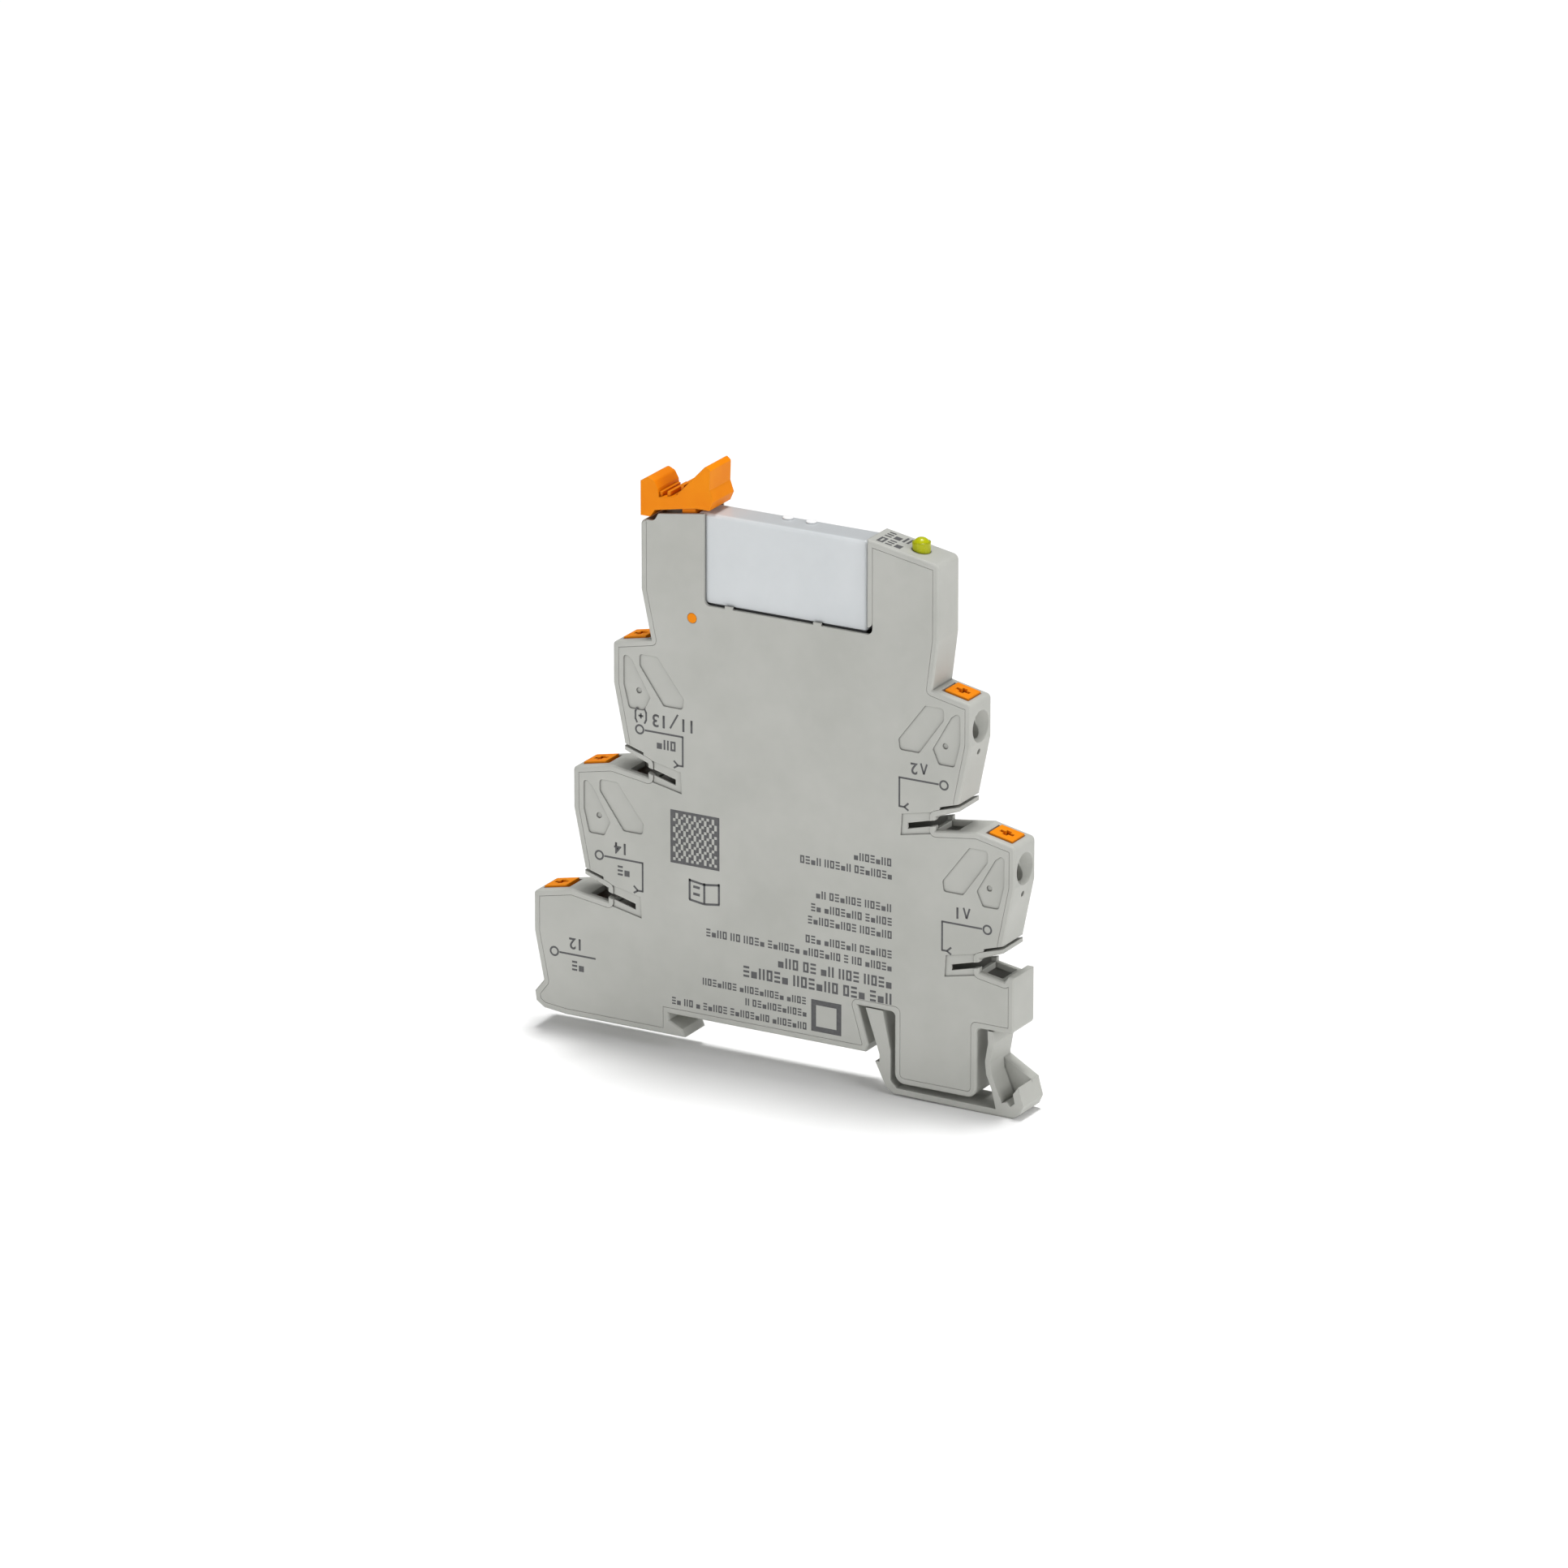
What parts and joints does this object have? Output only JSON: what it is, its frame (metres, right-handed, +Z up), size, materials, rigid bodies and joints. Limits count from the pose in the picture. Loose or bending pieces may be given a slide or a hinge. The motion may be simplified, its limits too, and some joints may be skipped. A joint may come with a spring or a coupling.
{
  "type": "relay module",
  "caption": "Slim plug-in relay on a stepped rail-mount terminal base, with push buttons over its wire entries, a relay ejector lever, a signal lamp and a sprung rail latch.",
  "frame": {"origin": "middle of the face that rests on the 35 mm mounting rail, midway through the thickness", "axes": "+X along the module towards the latch, +Y through its thickness away from the side cover, +Z up away from the rail"},
  "size_m": [0.0816, 0.0062, 0.0909],
  "materials": {
    "housing_plastic": "satin",
    "button_plastic": "satin",
    "relay_cap": "satin",
    "dark_plastic": "matte",
    "lamp_lens": "glossy",
    "board_laminate": "matte",
    "resistor_body": "matte",
    "bobbin_plastic": "matte",
    "copper_wire": "satin",
    "soft_iron": "satin",
    "contact_alloy": "satin",
    "spring_steel": "glossy",
    "tinned_copper": "satin"
  },
  "bodies": {
    "housing": {"housing_shell": "housing_plastic", "side_cover": "housing_plastic", "circuit_board": "board_laminate", "rectifier": "dark_plastic", "series_resistors": "resistor_body", "signal_lamp": "lamp_lens", "coil_socket_inner": "contact_alloy", "coil_socket_outer": "contact_alloy", "clamp_spring_11": "spring_steel", "clamp_spring_14": "spring_steel", "clamp_spring_12": "spring_steel", "clamp_spring_a2": "spring_steel", "clamp_spring_a1": "spring_steel", "current_bar_11": "tinned_copper", "current_bar_14": "tinned_copper", "current_bar_12": "tinned_copper", "current_bar_a2": "tinned_copper", "current_bar_a1": "tinned_copper"},
    "relay": {"relay_case": "relay_cap", "relay_base": "dark_plastic", "coil_bobbin": "bobbin_plastic", "coil_winding": "copper_wire", "magnet_core": "soft_iron", "magnet_yoke": "soft_iron", "contact_nc": "contact_alloy", "contact_no": "contact_alloy", "contact_common": "contact_alloy", "coil_pins": "contact_alloy"},
    "armature": {"armature": "soft_iron"},
    "actuator_card": {"actuator_card": "bobbin_plastic"},
    "moving_contact": {"moving_contact": "contact_alloy"},
    "ejector_lever": {"ejector_lever": "button_plastic"},
    "rail_latch": {"rail_latch": "housing_plastic"},
    "release_button_11": {"release_button_11": "button_plastic"},
    "release_button_14": {"release_button_14": "button_plastic"},
    "release_button_12": {"release_button_12": "button_plastic"},
    "release_button_a2": {"release_button_a2": "button_plastic"},
    "release_button_a1": {"release_button_a1": "button_plastic"}
  },
  "joints": [
    {"name": "lever_swing", "type": "hinge", "parent": "housing", "child": "ejector_lever", "pos_m": [-0.0135, 0, 0.0617], "axis": [0, -1, 0], "range_deg": [0, 20]},
    {"name": "relay_lift", "type": "slide", "parent": "housing", "child": "relay", "axis": [0, 0, 1], "range_m": [0, 0.002]},
    {"name": "armature_swing", "type": "hinge", "parent": "relay", "child": "armature", "pos_m": [0.002, 0, 0.0651], "axis": [0, 1, 0], "range_deg": [0, 2.9]},
    {"name": "card_slide", "type": "slide", "parent": "relay", "child": "actuator_card", "axis": [1, 0, 0], "range_m": [0, 0.00054], "stiffness_N_per_m": 8},
    {"name": "contact_swing", "type": "hinge", "parent": "relay", "child": "moving_contact", "pos_m": [-0.0054, 0, 0.066], "axis": [0, 1, 0], "range_deg": [0, 3.2]},
    {"name": "latch_slide", "type": "slide", "parent": "housing", "child": "rail_latch", "axis": [1, 0, 0], "range_m": [0, 0.00065], "stiffness_N_per_m": 8000},
    {"name": "button_11_press", "type": "slide", "parent": "housing", "child": "release_button_11", "axis": [0, 0, -1], "range_m": [0, 0.0014], "stiffness_N_per_m": 800},
    {"name": "button_14_press", "type": "slide", "parent": "housing", "child": "release_button_14", "axis": [0, 0, -1], "range_m": [0, 0.0014], "stiffness_N_per_m": 800},
    {"name": "button_12_press", "type": "slide", "parent": "housing", "child": "release_button_12", "axis": [0, 0, -1], "range_m": [0, 0.0014], "stiffness_N_per_m": 800},
    {"name": "button_a2_press", "type": "slide", "parent": "housing", "child": "release_button_a2", "axis": [0, 0, -1], "range_m": [0, 0.0014], "stiffness_N_per_m": 800},
    {"name": "button_a1_press", "type": "slide", "parent": "housing", "child": "release_button_a1", "axis": [0, 0, -1], "range_m": [0, 0.0014], "stiffness_N_per_m": 800}
  ],
  "couplings": [
    {"joint": "lever_swing", "follows": "relay_lift", "rad_per_m": 174.5},
    {"joint": "armature_swing", "follows": "card_slide", "rad_per_m": 93.7},
    {"joint": "contact_swing", "follows": "card_slide", "rad_per_m": 101}
  ]
}
